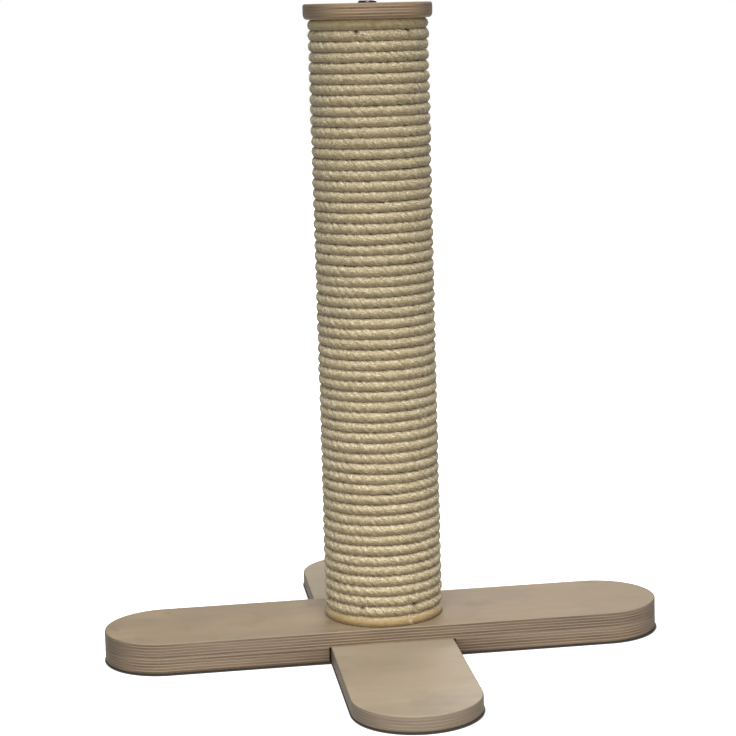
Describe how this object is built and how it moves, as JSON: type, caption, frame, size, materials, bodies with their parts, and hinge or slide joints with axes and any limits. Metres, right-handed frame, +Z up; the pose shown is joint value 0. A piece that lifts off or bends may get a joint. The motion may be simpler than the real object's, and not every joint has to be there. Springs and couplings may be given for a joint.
{
  "type": "cat scratching post",
  "caption": "Upright cat scratching post: a sisal rope wound tube with a round plywood cap, on two crossed plywood boards with rounded ends.",
  "frame": {"origin": "on the post's axis, in the floor plane under the base boards", "axes": "+X along the upper, long board, +Y along the cross board, away from the front, +Z up the post"},
  "size_m": [0.55, 0.5498, 0.6315],
  "materials": {
    "birch_plywood": "sanded, clear lacquered",
    "sisal": "coarse twisted fibre",
    "cardboard": "dull",
    "softwood": "sawn",
    "steel": "satin zinc plated",
    "dark_steel": "dark burnished"
  },
  "bodies": {
    "root": {"long_board": "birch_plywood", "cross_board": "birch_plywood", "right_packer": "birch_plywood", "left_packer": "birch_plywood", "right_packer_screws": "steel", "left_packer_screws": "steel", "cross_board_screws": "steel", "base_bolt": "steel", "core_tube": "cardboard", "bottom_plug": "softwood", "top_plug": "softwood", "bottom_plug_staples": "steel", "top_plug_staples": "steel", "tee_nuts": "steel", "sisal_rope": "sisal", "lower_rope_staples": "steel", "upper_rope_staples": "steel", "cap_disc": "birch_plywood", "cap_bolt": "dark_steel"}
  },
  "joints": []
}
